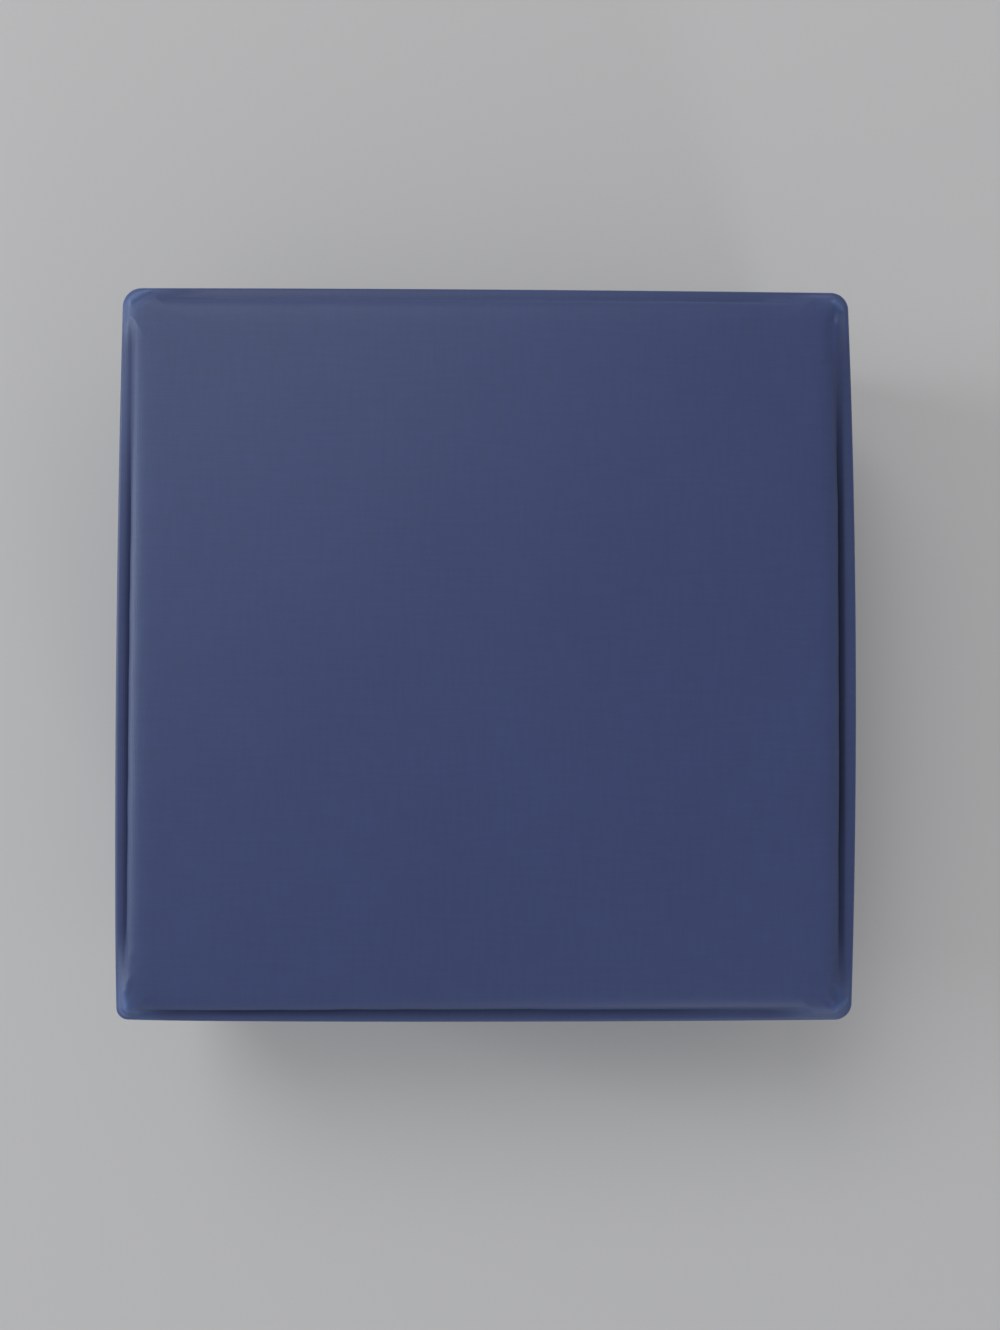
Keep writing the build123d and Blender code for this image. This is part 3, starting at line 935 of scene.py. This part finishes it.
def buildLidWallSatin():
    mesh = bmesh.new()
    rings = wrapRound(mesh, len(lidWallSatin["profile"]), wallSatinSpot)
    unfold(mesh, rings, lidWallSatin["edgeRing"])
    bmesh.ops.bridge_loops(mesh, edges=loopEdges(mesh, rings[0]) + loopEdges(mesh, rings[-1]))
    bmesh.ops.recalc_face_normals(mesh, faces=mesh.faces)
    piece = finishPiece(mesh, "lidWallSatin", ivorySatin, "lid")
    lightenedLayer(piece)
    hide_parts("lid_wall_lining")


buildLidWallSatin()
print("box: lid walls lined")

# Cushions: satin drawn over wadding and card, puffed with cloth simulation, puckered along the edges
cushions = {
    "floorCushion": {
        "half": 68.58, "radius": 3.3, "back": 3.15, "facing": 1, "seed": 5.0,
        "body": "base", "replaces": ("floor_satin", "floor_wadding"),
    },
    "lidCushion": {
        "half": 70.593, "radius": 3.3, "back": 47.0, "facing": -1, "seed": 23.0,
        "body": "lid", "replaces": ("lid_lining_satin", "lid_lining_wadding"),
    },
}
cushionMake = {
    "cells": 76, "crowding": 0.28,
    "cardTop": 1.3, "rise": 3.55, "shoulder": 9.0,
    "topFrom": 0.8,  # of the card's top: what is above this is puckered
    "skirt": ((0.9, -0.02), (0.35, 0.02), (0.0, 0.5)),  # height and inset
    "frames": 18, "pressure": 2.6, "cap": 1.0,  # the cap is how far a point may move
    "quality": 6, "mass": 0.15, "stretch": 12.0, "shear": 4.0, "bending": 0.4,
    "pucker": 0.34, "puckerSize": 3.6, "puckerLength": 26.0, "sideStep": 7.3,
    "puckerFrom": (0.3, 3.0), "puckerTo": (6.0, 20.0), "calmCorner": 8.0,
    "wave": 0.32, "waveSize": 22.0, "waveFrom": (2.0, 14.0),
}


# The height of a cushion at rest, by how far it is in from its edge
def cushionHeight(inset):
    share = min(inset / cushionMake["shoulder"], 1.0)
    return cushionMake["cardTop"] + cushionMake["rise"] * math.sqrt(1 - (1 - share) ** 2)


# A grid laid flat, crowded towards its edges and rounded at its corners, then raised by its inset
def layCushion(mesh, half, radius):
    cells, crowding = cushionMake["cells"], cushionMake["crowding"]
    bmesh.ops.create_grid(mesh, x_segments=cells, y_segments=cells, size=1.0)
    for vert in mesh.verts:
        flat = Vector([c * (1 - crowding) + crowding * math.sin(c * math.pi / 2) for c in vert.co.xy]) * half
        beyond = Vector([max(abs(c) - (half - radius), 0.0) for c in flat])
        if beyond.length > 1e-6:
            shrink = max(beyond) / beyond.length
            flat = Vector([math.copysign(min(abs(c), half - radius) + b * shrink, c) for c, b in zip(flat, beyond)])
            beyond *= shrink
        inset = half - max(abs(flat.x), abs(flat.y))
        if min(beyond) > 0:
            inset = min(inset, radius - beyond.length)
        vert.co = (flat.x * mm, flat.y * mm, cushionHeight(max(inset, 0.0)) * mm)


def puffCushion(piece, fixed):
    rest = [vert.co.copy() for vert in piece.data.vertices]
    held = piece.vertex_groups.new(name="held")
    held.add(fixed, 1.0, "REPLACE")
    cloth = piece.modifiers.new("puff", "CLOTH")
    cloth.settings.quality = cushionMake["quality"]
    cloth.settings.mass = cushionMake["mass"]
    cloth.settings.tension_stiffness = cushionMake["stretch"]
    cloth.settings.compression_stiffness = cushionMake["stretch"]
    cloth.settings.shear_stiffness = cushionMake["shear"]
    cloth.settings.bending_stiffness = cushionMake["bending"]
    cloth.settings.vertex_group_mass = "held"
    cloth.settings.use_pressure = True
    cloth.settings.uniform_pressure_force = cushionMake["pressure"]
    cloth.settings.effector_weights.gravity = 0.0
    for number in range(1, cushionMake["frames"] + 1):
        scene.frame_set(number)
    evaluated = piece.evaluated_get(bpy.context.evaluated_depsgraph_get())
    puffed = [vert.co.copy() for vert in evaluated.data.vertices]
    piece.modifiers.remove(cloth)
    piece.vertex_groups.remove(held)
    scene.frame_set(1)
    limit = cushionMake["cap"] * mm
    for vert, start, end in zip(piece.data.vertices, rest, puffed):
        move = end - start
        vert.co = start + (move * min(1.0, limit / move.length) if move.length > 1e-9 else move)


# Puckers that run in from the edges, and a slow wave over the middle
def pucker(x, y, half, seed):
    make, nearSide = cushionMake, abs(y) > abs(x)
    inset = half - max(abs(x), abs(y))
    side = seed + (2.0 if nearSide else 0.0) + (1.0 if x + y > 0 else 0.0)
    along = (x if nearSide else y) / make["puckerSize"]
    deep = noise.noise(Vector((along, side * make["sideStep"], inset / make["puckerLength"])))
    deep = deep * ease(inset, *make["puckerFrom"]) * (1 - ease(inset, *make["puckerTo"]))
    deep *= ease(abs(abs(x) - abs(y)), 0.0, make["calmCorner"])
    wide = noise.noise(Vector((x / make["waveSize"], y / make["waveSize"], seed)))
    return make["pucker"] * deep + make["wave"] * (wide * ease(inset, *make["waveFrom"]))


def buildCushion(name):
    make = cushions[name]
    half = make["half"]
    mesh = bmesh.new()
    layCushion(mesh, half, make["radius"])
    rim = [edge for edge in mesh.edges if edge.is_boundary]
    skirt = []
    for height, inset in cushionMake["skirt"]:
        grown = bmesh.ops.extrude_edge_only(mesh, edges=rim)["geom"]
        rim = [part for part in grown if isinstance(part, bmesh.types.BMEdge) and part.is_boundary]
        fresh = [part for part in grown if isinstance(part, bmesh.types.BMVert)]
        for vert in fresh:
            vert.co = vert.co.x * (1 - inset / half), vert.co.y * (1 - inset / half), height * mm
        skirt += fresh
    opposite = [
        edge for edge in rim
        if abs(sum(vert.co.y for vert in edge.verts)) > abs(sum(vert.co.x for vert in edge.verts))
    ]
    bmesh.ops.grid_fill(mesh, edges=opposite, mat_nr=0, use_smooth=True, use_interp_simple=False)
    mesh.verts.index_update()
    fixed = [vert.index for vert in skirt]
    piece = finishPiece(mesh, name, ivorySatin)
    puffCushion(piece, fixed)
    finished = bmesh.new()
    finished.from_mesh(piece.data)
    for vert in finished.verts:
        x, y, z = vert.co / mm
        if z > cushionMake["cardTop"] * cushionMake["topFrom"]:
            z += pucker(x, y, half, make["seed"])
        vert.co = x * mm, y * mm, (make["back"] + make["facing"] * z) * mm
    layer = finished.loops.layers.uv.new("unfolded")
    for face in finished.faces:
        for loop in face.loops:
            loop[layer].uv = loop.vert.co.xy
    bmesh.ops.recalc_face_normals(finished, faces=finished.faces)
    finished.to_mesh(piece.data)
    finished.free()
    lightenedLayer(piece)
    smoothing = piece.modifiers.new("smoothing", "SUBSURF")
    smoothing.levels = smoothing.render_levels = 1
    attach(piece, make["body"])
    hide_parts(*make["replaces"])
    print("box:", name, "puffed")


for cushionName in cushions:
    buildCushion(cushionName)

# The other solids keep their shapes and take their finishes by slot
boardFinishes = {
    "greyboard": greyBoard, "paper_tape": kraftTape, "white_card": whiteCard, "blue_paper": bluePaper,
}
for subpart in frame["record"]["subparts"]:
    node = frame["nodes"][subpart["node"]]
    if node.hide_render:
        continue
    if not node.material_slots:
        node.data.materials.append(None)
    for materialSlot in node.material_slots:
        materialSlot.material = boardFinishes[subpart["material_slot"]]
print("box: boards, tape, card and paper finished")

# Floor, lights and pale surroundings, in metres
stage = {
    "floor": (0.585, 0.535, 0.49), "floorHalf": 3.0, "floorRoughness": 0.9, "floorSpecular": 0.2,
    "world": (0.82, 0.89, 1.0), "worldStrength": 0.5,
    "aim": (0.0, 0.0, 0.03),
    "lamps": {
        "key": {"place": (-0.55, 1.05, 1.35), "size": 0.9, "watts": 11.0, "colour": (0.86, 0.93, 1.0)},
        "window": {"place": (-1.7, 0.2, 0.52), "size": 0.6, "watts": 16.0, "colour": (0.8, 0.92, 1.0)},
        "near": {"place": (0.5, -1.4, 0.55), "size": 0.4, "watts": 3.6, "colour": (0.8, 0.92, 1.0)},
    },
}


def buildFloor():
    mesh = bmesh.new()
    bmesh.ops.create_grid(mesh, x_segments=1, y_segments=1, size=stage["floorHalf"])
    data = bpy.data.meshes.new("floor")
    mesh.to_mesh(data)
    mesh.free()
    floor = bpy.data.objects.new("floor", data)
    scene.collection.objects.link(floor)
    material, tree, surface = newMaterial("paleFloor")
    surface.inputs["Base Color"].default_value = opaque(stage["floor"])
    surface.inputs["Roughness"].default_value = stage["floorRoughness"]
    surface.inputs["Specular IOR Level"].default_value = stage["floorSpecular"]
    data.materials.append(material)


def lightStage():
    for name, settings in stage["lamps"].items():
        lamp = bpy.data.lights.new(name, "AREA")
        lamp.size = settings["size"]
        lamp.energy = settings["watts"]
        lamp.color = settings["colour"]
        light = bpy.data.objects.new(name, lamp)
        light.location = settings["place"]
        light.rotation_euler = (Vector(stage["aim"]) - light.location).to_track_quat("-Z", "Y").to_euler()
        scene.collection.objects.link(light)
    world = bpy.data.worlds.new("paleRoom")
    scene.world = world
    world.use_nodes = True
    back = world.node_tree.nodes["Background"]
    back.inputs["Color"].default_value = opaque(stage["world"])
    back.inputs["Strength"].default_value = stage["worldStrength"]


buildFloor()
lightStage()
print("box: stage lit")
